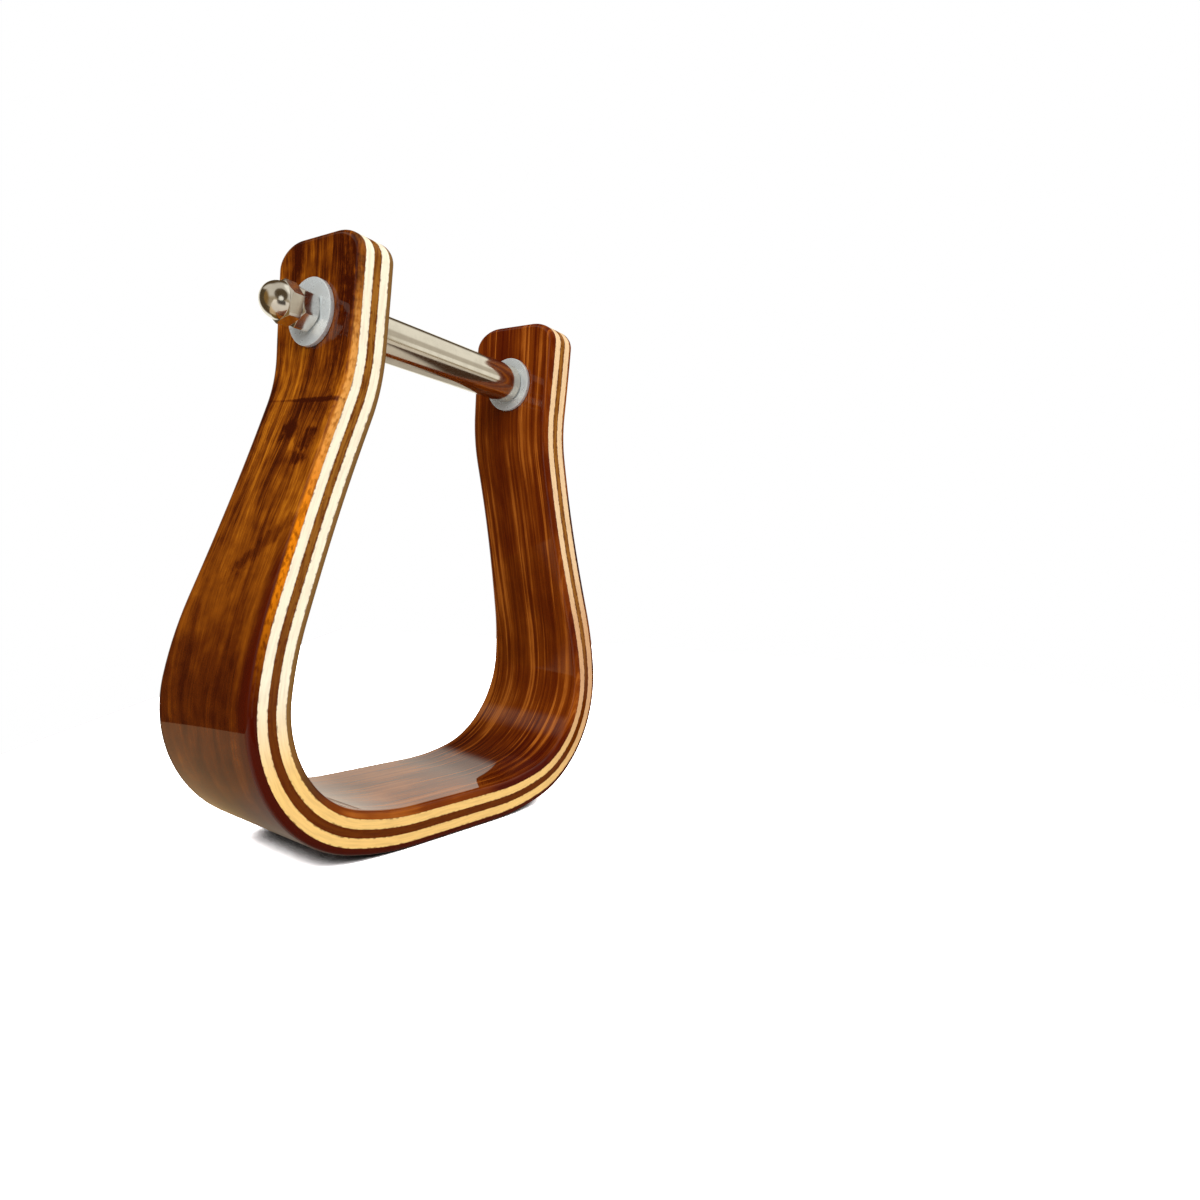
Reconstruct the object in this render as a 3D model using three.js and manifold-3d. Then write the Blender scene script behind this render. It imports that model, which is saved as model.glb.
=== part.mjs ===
// Bell-shaped riding stirrup: five bent wood plies glued face to face, with a bolt through the two ears
// and a spacer roller on it that carries the stirrup leather. Millimetres, +Z up.
// The origin is the middle of the tread's underside. +X runs from leg to leg, and -Y is the front edge.

import * as THREE from 'three';
import { mergeVertices } from 'three/addons/utils/BufferGeometryUtils.js';
import Module from 'manifold-3d';

const wasm = await Module();
wasm.setup();

// Bent shape, along the centre line from the middle of the tread to the top of an ear
const TREAD_FLAT = 36;         // flat stretch across the middle of the tread
const RISE_RADIUS = 96;        // slow upward sweep beside the flat
const RISE_TURN = 14.8;        // degrees
const CORNER_RADIUS = 38.6;    // tight bend where the tread turns into the leg
const CORNER_TURN = 81.9;      // degrees
const SHOULDER_RADIUS = 111;   // slow bend above the corner
const SHOULDER_TURN = 11.4;    // degrees
const NECK_RADIUS = 57;        // reverse bend that brings the ear upright
const NECK_INSIDE = 74.8;      // clear width between the ears
const EAR_MARGIN = 0.5;        // upright wood below the washer

// Widths across the ribbon, front to back, and the heights where they change
const TREAD_WIDTH = 49.2;
const NECK_WIDTH = 35.7;
const EAR_WIDTH = 38.6;
const TAPER_START = 8;
const NECK_HEIGHT = 120;
const EAR_CROWN_WIDTH = 11;    // half axes of the elliptic corner on top of an ear
const EAR_CROWN_HEIGHT = 7.8;

// Lay-up
const VENEER = 2.4;
const MAPLE = 3;
const CORE = 2.5;
const EDGE_RADIUS = 2;         // rounded edge of the two veneers

// Hardware
const BOLT_DIAMETER = 6.35;
const BOLT_DROP = 23.1;        // from the top of the ear down to the bolt's axis
const BOLT_HEAD = 4;
const BOLT_END_CHAMFER = 0.8;
const WASHER_DIAMETER = 20;
const WASHER_THICKNESS = 1.6;
const ROLLER_DIAMETER = 14.3;
const ROLLER_EDGE = 0.5;       // broken edge at each end of the roller
const HEX_FLATS = 11.1;
const HEX_FACE = 10.4;         // diameter left flat on a hexagon's chamfered face
const HEX_NUT_THICKNESS = 5.56;
const ACORN_HEX = 4;           // height of the acorn nut's hexagon
const ACORN_DOME_RADIUS = 5.4; // half a ball on the hexagon's outer face
const ACORN_THREAD = 5;        // length of bolt inside the nut

// Clearances
const BORE_CLEARANCE = 0.3;    // all round the bolt in wood, washers and nuts
const ROLLER_CLEARANCE = 0.33; // all round the bolt in the roller
const END_CLEARANCE = 0.3;     // at each end of the roller, and past the bolt's end

// Turn of each hexagon about the bolt's axis, in degrees
const HEX_NUT_TURN = 54;
const ACORN_TURN = 14;
const HEAD_TURN = 20;

// Facets
const BEND_STEP = 3;           // degrees of bend between stations
const FLARE_STEPS = 6;
const EAR_STEPS = 2;
const CROWN_STEPS = 6;
const EDGE_STEPS = 3;
const ROUND_SIDES = 36;
const DOME_STEPS = 8;

const BOARD = 2 * VENEER + 2 * MAPLE + CORE;
const EAR_X = NECK_INSIDE / 2 + BOARD / 2;
const EAR_STRAIGHT = BOLT_DROP + WASHER_DIAMETER / 2 + EAR_MARGIN;
const BORE = BOLT_DIAMETER + 2 * BORE_CLEARANCE;
const HEX_CORNER_RADIUS = HEX_FLATS / Math.sqrt(3);

// Walks along a bend of the centre line. Headings are in radians, 0 along the tread and PI / 2 straight up.
function alongBend(bend, distance) {
  if (bend.radius === Infinity) {
    return {
      x: bend.x + distance * Math.cos(bend.heading),
      z: bend.z + distance * Math.sin(bend.heading),
      heading: bend.heading,
    };
  }
  const heading = bend.heading + distance / bend.radius;
  return {
    x: bend.x + bend.radius * (Math.sin(heading) - Math.sin(bend.heading)),
    z: bend.z - bend.radius * (Math.cos(heading) - Math.cos(bend.heading)),
    heading,
  };
}

function addBend(line, radius, length, steps) {
  const last = line[line.length - 1];
  const end = alongBend(last, last.length);
  line.push({ ...end, start: last.start + last.length, radius, length, steps });
}

function addTurn(line, radius, degrees) {
  const length = Math.abs(radius) * THREE.MathUtils.degToRad(degrees);
  addBend(line, radius, length, Math.max(1, Math.round(degrees / BEND_STEP)));
}

// The reverse bend ends upright at EAR_X, which sets how long the straight flare before it is.
function bendHalf() {
  const flat = { radius: Infinity, length: TREAD_FLAT / 2, steps: 1 };
  const line = [{ x: 0, z: BOARD / 2, heading: 0, start: 0, ...flat }];
  addTurn(line, RISE_RADIUS, RISE_TURN);
  addTurn(line, CORNER_RADIUS, CORNER_TURN);
  addTurn(line, SHOULDER_RADIUS, SHOULDER_TURN);
  const shoulder = line[line.length - 1];
  const lean = alongBend(shoulder, shoulder.length);
  const neckInset = NECK_RADIUS * (1 - Math.sin(lean.heading));
  addBend(line, Infinity, (EAR_X - lean.x + neckInset) / Math.cos(lean.heading), FLARE_STEPS);
  addTurn(line, -NECK_RADIUS, RISE_TURN + CORNER_TURN + SHOULDER_TURN - 90);
  addBend(line, Infinity, EAR_STRAIGHT, EAR_STEPS);
  return line;
}

const halfLine = bendHalf();
const ear = halfLine[halfLine.length - 1];
const EAR_TOP = ear.z + ear.length;
const BOLT_HEIGHT = EAR_TOP - BOLT_DROP;

// Point of the centre line at a signed distance from the middle of the tread, with its outward normal.
function centreAt(distance) {
  const along = Math.abs(distance);
  const bend = halfLine.findLast((b) => b.start <= along);
  const { x, z, heading } = alongBend(bend, along - bend.start);
  const side = Math.sign(distance) || 1;
  return { x: side * x, z, outX: side * Math.sin(heading), outZ: -Math.cos(heading) };
}

function smoothStep(value, from, to) {
  const share = THREE.MathUtils.clamp((value - from) / (to - from), 0, 1);
  return (1 - Math.cos(Math.PI * share)) / 2;
}

function halfWidthAt(height) {
  const lower = THREE.MathUtils.lerp(TREAD_WIDTH, NECK_WIDTH, smoothStep(height, TAPER_START, NECK_HEIGHT));
  return THREE.MathUtils.lerp(lower, EAR_WIDTH, smoothStep(height, NECK_HEIGHT, EAR_TOP)) / 2;
}

// Back edge of the flat ribbon as [distance, half width] pairs, from the left ear's top to the right one's.
function ribbonEdge() {
  const half = [];
  for (const bend of halfLine) {
    const length = bend === ear ? bend.length - EAR_CROWN_HEIGHT : bend.length;
    for (let i = 1; i <= bend.steps; i++) {
      const distance = bend.start + (length * i) / bend.steps;
      half.push([distance, halfWidthAt(centreAt(distance).z)]);
    }
  }
  const [crownStart, crownHalf] = half[half.length - 1];
  for (let i = 1; i <= CROWN_STEPS; i++) {
    const angle = (Math.PI / 2) * (i / CROWN_STEPS);
    half.push([
      crownStart + EAR_CROWN_HEIGHT * Math.sin(angle),
      crownHalf - EAR_CROWN_WIDTH * (1 - Math.cos(angle)),
    ]);
  }
  const mirrored = half.map(([distance, width]) => [-distance, width]).reverse();
  return [...mirrored, ...half];
}

// The same edge moved into the ribbon by a distance, square to the edge.
function insetEdge(edge, inset) {
  return edge.map(([distance, width], i) => {
    if (i === 0 || i === edge.length - 1) return [distance - Math.sign(distance) * inset, width];
    const along = edge[i + 1][0] - edge[i - 1][0];
    const across = edge[i + 1][1] - edge[i - 1][1];
    const size = Math.hypot(along, across);
    return [distance + (inset * across) / size, width - (inset * along) / size];
  });
}

// One ply as a stack of closed rings, each at an offset from the centre line and inset from the edge.
function plyGeometry(rings) {
  const edge = ribbonEdge();
  const count = edge.length;
  const ringSize = 2 * count;
  const positions = [];
  for (const { offset, inset } of rings) {
    const moved = insetEdge(edge, inset);
    const front = moved.map(([distance, width]) => [distance, -width]);
    const back = moved.slice().reverse();
    for (const [distance, y] of [...front, ...back]) {
      const { x, z, outX, outZ } = centreAt(distance);
      positions.push(x + offset * outX, y, z + offset * outZ);
    }
  }
  const index = [];
  for (let ring = 0; ring + 1 < rings.length; ring++) {
    for (let i = 0; i < ringSize; i++) {
      const a = ring * ringSize + i;
      const b = ring * ringSize + ((i + 1) % ringSize);
      index.push(a, a + ringSize, b, b, a + ringSize, b + ringSize);
    }
  }
  const last = (rings.length - 1) * ringSize;
  for (let i = 0; i + 1 < count; i++) {
    const opposite = ringSize - 1 - i;
    index.push(i, i + 1, opposite, opposite, i + 1, opposite - 1);
    index.push(last + i, last + opposite, last + i + 1, last + opposite, last + opposite - 1, last + i + 1);
  }
  const geometry = new THREE.BufferGeometry();
  geometry.setAttribute('position', new THREE.Float32BufferAttribute(positions, 3));
  geometry.setIndex(index);
  return geometry;
}

// Rings of a veneer from its glued face out to its rounded face. The side is 1 for the outer veneer and
// -1 for the inner one.
function veneerRings(side) {
  const glued = CORE / 2 + MAPLE;
  const rings = [{ offset: glued, inset: 0 }];
  for (let i = 0; i <= EDGE_STEPS; i++) {
    const angle = (Math.PI / 2) * (i / EDGE_STEPS);
    rings.push({
      offset: glued + VENEER - EDGE_RADIUS * (1 - Math.sin(angle)),
      inset: EDGE_RADIUS * (1 - Math.cos(angle)),
    });
  }
  if (side > 0) return rings;
  return rings.map(({ offset, inset }) => ({ offset: -offset, inset })).reverse();
}

function flatRings(from, to) {
  return [{ offset: from, inset: 0 }, { offset: to, inset: 0 }];
}

function toSolid(geometry) {
  const bare = geometry.clone();
  bare.deleteAttribute('normal');
  bare.deleteAttribute('uv');
  const merged = mergeVertices(bare, 1e-4);
  return new wasm.Manifold(new wasm.Mesh({
    numProp: 3,
    vertProperties: new Float32Array(merged.attributes.position.array),
    triVerts: new Uint32Array(merged.index.array),
  }));
}

function toGeometry(solid) {
  const { vertProperties, triVerts } = solid.getMesh();
  const geometry = new THREE.BufferGeometry();
  geometry.setAttribute('position', new THREE.BufferAttribute(vertProperties, 3));
  geometry.setIndex(new THREE.BufferAttribute(triVerts, 1));
  geometry.computeVertexNormals();
  return geometry;
}

// A turned solid on the X axis, from [radius, x] points.
function turned(points) {
  const outline = points.map(([radius, x]) => new THREE.Vector2(radius, x));
  const geometry = new THREE.LatheGeometry(outline, ROUND_SIDES);
  geometry.rotateZ(-Math.PI / 2);
  return toSolid(geometry);
}

function rod(radius, from, to) {
  return turned([[0, from], [radius, from], [radius, to], [0, to]]);
}

// A hexagonal block on the X axis from 0 to its thickness. A 30 degree cone leaves a face of the given
// radius at its far end and, if asked, at both ends.
function hexBlock(thickness, turn, faceRadius, bothFaces) {
  const prism = new THREE.CylinderGeometry(HEX_CORNER_RADIUS, HEX_CORNER_RADIUS, thickness, 6);
  prism.translate(0, thickness / 2, 0);
  prism.rotateZ(-Math.PI / 2);
  prism.rotateX(THREE.MathUtils.degToRad(turn));
  const reach = 1.2 * HEX_CORNER_RADIUS;
  const slope = (reach - faceRadius) * Math.tan(THREE.MathUtils.degToRad(30));
  const envelope = turned([
    [0, 0],
    [bothFaces ? faceRadius : reach, 0],
    [reach, bothFaces ? slope : 0.5 * thickness],
    [reach, thickness - slope],
    [faceRadius, thickness],
    [0, thickness],
  ]);
  return toSolid(prism).intersect(envelope);
}

function washerSolid() {
  const inner = BORE / 2;
  const outer = WASHER_DIAMETER / 2;
  return turned([
    [inner, 0], [outer, 0], [outer, WASHER_THICKNESS], [inner, WASHER_THICKNESS], [inner, 0],
  ]);
}

const ROLLER_LENGTH = NECK_INSIDE - 2 * (WASHER_THICKNESS + END_CLEARANCE);

function rollerSolid() {
  const inner = BOLT_DIAMETER / 2 + ROLLER_CLEARANCE;
  const outer = ROLLER_DIAMETER / 2;
  const end = ROLLER_LENGTH / 2;
  return turned([
    [inner, -end], [outer - ROLLER_EDGE, -end], [outer, -end + ROLLER_EDGE],
    [outer, end - ROLLER_EDGE], [outer - ROLLER_EDGE, end], [inner, end], [inner, -end],
  ]);
}

function hexNutSolid() {
  const block = hexBlock(HEX_NUT_THICKNESS, HEX_NUT_TURN, HEX_FACE / 2, true);
  return block.subtract(rod(BORE / 2, -1, HEX_NUT_THICKNESS + 1));
}

function acornNutSolid() {
  const dome = [[0, 0.5 * ACORN_HEX], [ACORN_DOME_RADIUS, 0.5 * ACORN_HEX]];
  for (let i = 0; i <= DOME_STEPS; i++) {
    const angle = (Math.PI / 2) * (i / DOME_STEPS);
    const radius = i === DOME_STEPS ? 0 : ACORN_DOME_RADIUS * Math.cos(angle);
    dome.push([radius, ACORN_HEX + ACORN_DOME_RADIUS * Math.sin(angle)]);
  }
  const block = hexBlock(ACORN_HEX, ACORN_TURN, ACORN_DOME_RADIUS, false).add(turned(dome));
  return block.subtract(rod(BORE / 2, -1, ACORN_THREAD + END_CLEARANCE));
}

// The bolt's seat under its head is at 0, and the shank runs along -X through both ears into the acorn nut.
function boltSolid() {
  const shankEnd = -(NECK_INSIDE + 2 * BOARD + 2 * WASHER_THICKNESS + HEX_NUT_THICKNESS + ACORN_THREAD);
  const radius = BOLT_DIAMETER / 2;
  const shank = turned([
    [0, shankEnd], [radius - BOLT_END_CHAMFER, shankEnd], [radius, shankEnd + BOLT_END_CHAMFER],
    [radius, 0.5 * BOLT_HEAD], [0, 0.5 * BOLT_HEAD],
  ]);
  return hexBlock(BOLT_HEAD, HEAD_TURN, HEX_FACE / 2, false).add(shank);
}

function finish(color, roughness, metalness) {
  return new THREE.MeshStandardMaterial({ color, roughness, metalness });
}

const rosewood = finish('#5a2a0c', 0.22, 0);
const maple = finish('#efd39a', 0.4, 0);
const walnut = finish('#6b3a12', 0.4, 0);
const zinc = finish('#b9c4c8', 0.32, 1);
const nickel = finish('#c9c2b6', 0.12, 1);

const stirrup = new THREE.Group();

function addPiece(name, geometry, material, x = 0, z = 0) {
  const mesh = new THREE.Mesh(geometry, material);
  mesh.name = name;
  mesh.position.set(x, 0, z);
  stirrup.add(mesh);
}

// Plies, from the outside of the bend to the inside, all drilled by one bore through both ears
const boreReach = EAR_X + BOARD;
const drill = rod(BORE / 2, -boreReach, boreReach).translate([0, 0, BOLT_HEIGHT]);
const coreFace = CORE / 2;
const mapleFace = coreFace + MAPLE;
const plies = [
  ['outer_veneer', veneerRings(1), rosewood],
  ['outer_maple_ply', flatRings(coreFace, mapleFace), maple],
  ['core_ply', flatRings(-coreFace, coreFace), walnut],
  ['inner_maple_ply', flatRings(-mapleFace, -coreFace), maple],
  ['inner_veneer', veneerRings(-1), rosewood],
];
for (const [name, rings, material] of plies) {
  addPiece(name, toGeometry(toSolid(plyGeometry(rings)).subtract(drill)), material);
}

// Hardware on the bolt's axis, from the bolt's head on the right to the acorn nut on the left
const insideFace = NECK_INSIDE / 2;
const outsideFace = insideFace + BOARD;
const seat = outsideFace + WASHER_THICKNESS;
const acornSeat = seat + HEX_NUT_THICKNESS;
const mirror = (solid) => solid.mirror([1, 0, 0]);

addPiece('through_bolt', toGeometry(boltSolid()), nickel, seat, BOLT_HEIGHT);
addPiece('spacer_roller', toGeometry(rollerSolid()), nickel, 0, BOLT_HEIGHT);
addPiece('right_outer_washer', toGeometry(washerSolid()), zinc, outsideFace, BOLT_HEIGHT);
addPiece('right_inner_washer', toGeometry(mirror(washerSolid())), zinc, insideFace, BOLT_HEIGHT);
addPiece('left_inner_washer', toGeometry(washerSolid()), zinc, -insideFace, BOLT_HEIGHT);
addPiece('left_outer_washer', toGeometry(mirror(washerSolid())), zinc, -outsideFace, BOLT_HEIGHT);
addPiece('hex_nut', toGeometry(mirror(hexNutSolid())), nickel, -seat, BOLT_HEIGHT);
addPiece('acorn_nut', toGeometry(mirror(acornNutSolid())), nickel, -acornSeat, BOLT_HEIGHT);

export default stirrup;
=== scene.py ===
"""Looks of the wooden stirrup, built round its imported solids.

Lengths are in metres. The board is the glued stack of five plies. Its surface coordinates are the
distance along the centre line from the middle of the tread (negative towards the left ear), the place
across the board, and the offset from the centre line towards the outside of the bend. Every wood
pattern reads them from the vertex attribute "board", so the grain follows the bend.
"""
import math

import bpy
import numpy as np
from bpy.props import FloatProperty, FloatVectorProperty, PointerProperty
from mathutils import Matrix, Vector


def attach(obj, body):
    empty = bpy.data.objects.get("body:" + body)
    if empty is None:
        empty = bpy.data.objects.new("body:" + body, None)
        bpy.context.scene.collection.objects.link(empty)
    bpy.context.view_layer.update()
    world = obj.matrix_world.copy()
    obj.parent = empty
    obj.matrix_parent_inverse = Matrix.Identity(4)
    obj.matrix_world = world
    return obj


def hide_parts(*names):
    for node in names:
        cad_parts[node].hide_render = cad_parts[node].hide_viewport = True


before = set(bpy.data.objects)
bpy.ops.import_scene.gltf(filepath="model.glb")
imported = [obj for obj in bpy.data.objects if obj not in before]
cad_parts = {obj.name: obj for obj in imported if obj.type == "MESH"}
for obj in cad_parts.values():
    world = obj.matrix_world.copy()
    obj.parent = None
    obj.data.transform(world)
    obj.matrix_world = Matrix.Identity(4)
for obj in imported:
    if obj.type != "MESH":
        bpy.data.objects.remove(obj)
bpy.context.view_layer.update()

bl_info = {
    "name": "Wooden stirrup",
    "version": (1, 0, 0),
    "blender": (4, 5, 0),
    "location": "3D View > Sidebar > Stirrup",
    "description": "Dresses the solids of a laminated wooden stirrup for rendering",
    "category": "Object",
}

MM = 0.001


# Settings

def length(name, description, millimetres):
    return FloatProperty(name=name, description=description, default=millimetres * MM, unit="LENGTH")


def angle(name, description, degrees):
    return FloatProperty(name=name, description=description, default=math.radians(degrees), unit="ROTATION")


def power(name, description, watts):
    return FloatProperty(name=name, description=description, default=watts, min=0, unit="POWER")


def share(name, description, default):
    return FloatProperty(name=name, description=description, default=default, min=0, subtype="FACTOR")


def colour(name, description, default):
    return FloatVectorProperty(
        name=name, description=description, default=default, min=0, max=1, size=3, subtype="COLOR"
    )


class StirrupBoard(bpy.types.PropertyGroup):
    """Sizes of the bent board and of its plies."""
    tread_flat: length("Tread flat", "Flat stretch across the middle of the tread", 36)
    rise_radius: length("Rise radius", "Radius of the slow upward sweep beside the flat", 96)
    rise_turn: angle("Rise turn", "Turn of the slow upward sweep", 14.8)
    corner_radius: length("Corner radius", "Radius where the tread turns into the leg", 38.6)
    corner_turn: angle("Corner turn", "Turn of the tight bend", 81.9)
    shoulder_radius: length("Shoulder radius", "Radius of the slow bend above the corner", 111)
    shoulder_turn: angle("Shoulder turn", "Turn of the slow bend above the corner", 11.4)
    neck_radius: length("Neck radius", "Radius of the reverse bend below the ear", 57)
    neck_inside: length("Neck inside", "Clear width between the ears", 74.8)
    ear_straight: length("Ear straight", "Upright length of an ear", 33.6)
    bolt_drop: length("Bolt drop", "From the top of an ear down to the bolt", 23.1)
    tread_width: length("Tread width", "Width of the board, front to back, at the tread", 49.2)
    neck_width: length("Neck width", "Width of the board at its narrowest", 35.7)
    ear_width: length("Ear width", "Width of the board at the top of the ears", 38.6)
    taper_start: length("Taper start", "Height where the board begins to narrow", 8)
    neck_height: length("Neck height", "Height where the board is narrowest", 120)
    crown_width: length("Crown width", "Half axis, across, of the ear's rounded top corners", 11)
    crown_height: length("Crown height", "Half axis, along, of the ear's rounded top corners", 7.8)
    veneer: length("Veneer", "Thickness of the outer and the inner veneer", 2.4)
    maple: length("Maple ply", "Thickness of each pale ply", 3)
    core: length("Core", "Thickness of the brown core ply", 2.5)
    edge_radius: length("Edge radius", "Rounding of the veneers' free edges", 2)


class StirrupHardware(bpy.types.PropertyGroup):
    """Sizes of the bolt, the roller, the washers and the nuts."""
    bolt_diameter: length("Bolt diameter", "Diameter of the bolt's shank", 6.35)
    bolt_head: length("Bolt head", "Height of the bolt's hexagon", 4)
    bolt_chamfer: length("Bolt chamfer", "Chamfer at the end of the shank", 0.8)
    bore_clearance: length("Bore clearance", "Room all round the bolt in wood, washers and nuts", 0.3)
    washer_diameter: length("Washer diameter", "Outside diameter of a washer", 20)
    washer_thickness: length("Washer thickness", "Thickness of a washer", 1.6)
    roller_diameter: length("Roller diameter", "Outside diameter of the spacer roller", 14.3)
    roller_clearance: length("Roller clearance", "Room all round the bolt in the roller", 0.33)
    end_clearance: length("End clearance", "Room at each end of the roller and past the bolt's end", 0.3)
    roller_edge: length("Roller edge", "Rounding of the roller's ends", 0.5)
    hex_flats: length("Across flats", "Width of the hexagons across their flats", 11.1)
    hex_face: length("Hexagon face", "Diameter left flat on a chamfered hexagon", 10.4)
    hex_nut: length("Hex nut", "Thickness of the hex nut", 5.56)
    acorn_hex: length("Acorn hexagon", "Height of the acorn nut's hexagon", 4)
    acorn_dome: length("Acorn dome", "Radius of the acorn nut's dome", 5.4)
    acorn_thread: length("Acorn thread", "Length of bolt inside the acorn nut", 5)
    nut_turn: angle("Hex nut turn", "Turn of the hex nut about the bolt", 54)
    acorn_turn: angle("Acorn turn", "Turn of the acorn nut about the bolt", 14)
    head_turn: angle("Head turn", "Turn of the bolt's head about the bolt", 20)


class StirrupFinish(bpy.types.PropertyGroup):
    """Colours and gloss of the wood and the metal."""
    vein: colour("Vein", "Darkest streaks of the outer veneer", (0.036, 0.0028, 0.0003))
    brown: colour("Brown", "Deep brown of the outer veneer", (0.092, 0.0150, 0.0008))
    amber: colour("Amber", "Middle tone of the outer veneer", (0.215, 0.052, 0.0022))
    gold: colour("Gold", "Golden streaks of the outer veneer", (0.46, 0.145, 0.0068))
    wine: colour("Wine", "Darkest stripes of the inner veneer", (0.060, 0.0036, 0.0005))
    russet: colour("Russet", "Deep red of the inner veneer", (0.105, 0.0130, 0.001))
    copper: colour("Copper", "Middle tone of the inner veneer", (0.185, 0.034, 0.002))
    honeycomb: colour("Bright stripe", "Golden stripes of the inner veneer", (0.40, 0.108, 0.012))
    sanded: colour("Sanded edge", "Rounded edge of the outer veneer, upper stretch", (0.62, 0.27, 0.06))
    burnt: colour("Burnt orange", "Rounded edge of the outer veneer, lower stretch", (0.66, 0.185, 0.004))
    olive: colour("Olive", "Rounded edge of the inner veneer on the left leg", (0.22, 0.12, 0.034))
    cream: colour("Cream", "Pale plies on the left leg", (0.93, 0.82, 0.61))
    honey: colour("Honey", "Pale plies under the tread", (0.90, 0.575, 0.195))
    tan: colour("Tan", "Pale plies in the right corner", (0.66, 0.37, 0.18))
    wheat: colour("Wheat", "Pale plies on the right leg", (0.82, 0.56, 0.31))
    walnut: colour("Walnut", "Core ply on the legs", (0.30, 0.114, 0.013))
    dark_walnut: colour("Dark walnut", "Core ply under the tread", (0.127, 0.026, 0.0012))
    zinc: colour("Zinc", "Pale plating of the washers", (0.73, 0.78, 0.785))
    nickel: colour("Nickel", "Warm plating of the bolt and the roller", (0.72, 0.69, 0.64))
    bright: colour("Bright nickel", "Plating of the nuts", (0.82, 0.81, 0.80))
    varnish: share("Varnish", "Weight of the clear varnish on the wood", 1.0)


class StirrupStage(bpy.types.PropertyGroup):
    """Camera and light."""
    camera_place: FloatVectorProperty(
        name="Camera place", description="Where the camera stands", size=3, subtype="TRANSLATION",
        unit="LENGTH", default=(-0.192724, -0.204957, 0.090858),
    )
    camera_azimuth: angle("Camera azimuth", "Side from which the camera looks, 0 from the front", -55.9605)
    camera_elevation: angle("Camera elevation", "Angle of the camera above the horizon", 1.953)
    camera_roll: angle("Camera roll", "Turn of the camera about its line of sight", 4.2975)
    lens: FloatProperty(name="Lens", description="Focal length in millimetres", default=23.4795, min=1)
    floor_reach: length("Floor reach", "Half the side of the square white sheet", 700)
    floor_back: length("Floor back", "From the object to the sheet's far left edge", 168)
    floor_turn: angle("Floor turn", "Turn of the sheet on the table", 40.5)
    key_power: power("Key power", "Power of the key lamp", 3.2)
    side_power: power("Side power", "Power of the side lamp", 6.5)
    ambient: share("Ambient", "Strength of the light from all round", 0.5)


# Shapes

def thickness(board):
    """Thickness of the whole board."""
    return 2 * (board.veneer + board.maple) + board.core


class Centreline:
    """Centre line of the board as bends of constant curvature, from the middle of the tread up to one ear."""

    def __init__(self, board):
        self.board = board
        self.ear_x = (board.neck_inside + thickness(board)) / 2
        self.rows = [(0.0, 0.0, thickness(board) / 2, 0.0, 0.0)]
        self._add(board.tread_flat / 2, 0.0)
        self._add(board.rise_radius * board.rise_turn, 1 / board.rise_radius)
        self._add(board.corner_radius * board.corner_turn, 1 / board.corner_radius)
        self._add(board.shoulder_radius * board.shoulder_turn, 1 / board.shoulder_radius)
        _, x, _, lean, _ = self.rows[-1]
        inset = board.neck_radius * (1 - math.sin(lean))
        self._add((self.ear_x - x + inset) / math.cos(lean), 0.0)
        self._add(board.neck_radius * (lean - math.pi / 2), -1 / board.neck_radius)
        self._add(board.ear_straight, 0.0)
        self.starts, self.x, self.z, self.heading, self.curvature = np.array(self.rows).T
        self.top = self.z[-1]
        self.end = self.starts[-1]
        self.bolt = self.end - board.bolt_drop

    def _add(self, run, curvature):
        """A bend starts where the last one ends; its own curvature is written into the last row."""
        start, x, z, heading, _ = self.rows[-1]
        self.rows[-1] = (start, x, z, heading, curvature)
        chord = run * np.sinc(curvature * run / 2 / math.pi)
        middle = heading + curvature * run / 2
        self.rows.append((
            start + run, x + chord * math.cos(middle), z + chord * math.sin(middle),
            heading + curvature * run, 0.0,
        ))

    def at(self, distance):
        """Points and outward normals in the X-Z plane at signed distances.

        On a bend of curvature k that starts with heading h, a run d has the chord d sinc(k d / 2) in the
        direction h + k d / 2. Negative distances are the same line mirrored in X.
        """
        along, side = np.abs(distance), np.where(distance < 0, -1.0, 1.0)
        i = np.clip(np.searchsorted(self.starts, along, "right") - 1, 0, len(self.starts) - 1)
        run = along - self.starts[i]
        half_turn = self.curvature[i] * run / 2
        chord = run * np.sinc(half_turn / math.pi)
        middle = self.heading[i] + half_turn
        x = side * (self.x[i] + chord * np.cos(middle))
        z = self.z[i] + chord * np.sin(middle)
        heading = self.heading[i] + 2 * half_turn
        return x, z, side * np.sin(heading), -np.cos(heading)

    def half_width(self, height):
        """Half the board's width: tread to neck, then neck to ear, each on half a cosine wave."""
        board = self.board

        def ease(low, high):
            return (1 - np.cos(math.pi * np.clip((height - low) / (high - low), 0, 1))) / 2

        lower = board.tread_width + (board.neck_width - board.tread_width) * ease(
            board.taper_start, board.neck_height)
        return (lower + (board.ear_width - lower) * ease(board.neck_height, self.top)) / 2


# How finely the board is divided: the turn of a step on a bend, the run of a step on a straight, the steps
# past a bore and along a rounded top corner, and how far from a bore's centre its even stations reach.
BEND_STEP = math.radians(1.6)
STRAIGHT_STEP = 3 * MM
BORE_STEPS = 18
CROWN_STEPS = 18
BORE_REACH = 9.5 * MM


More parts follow.
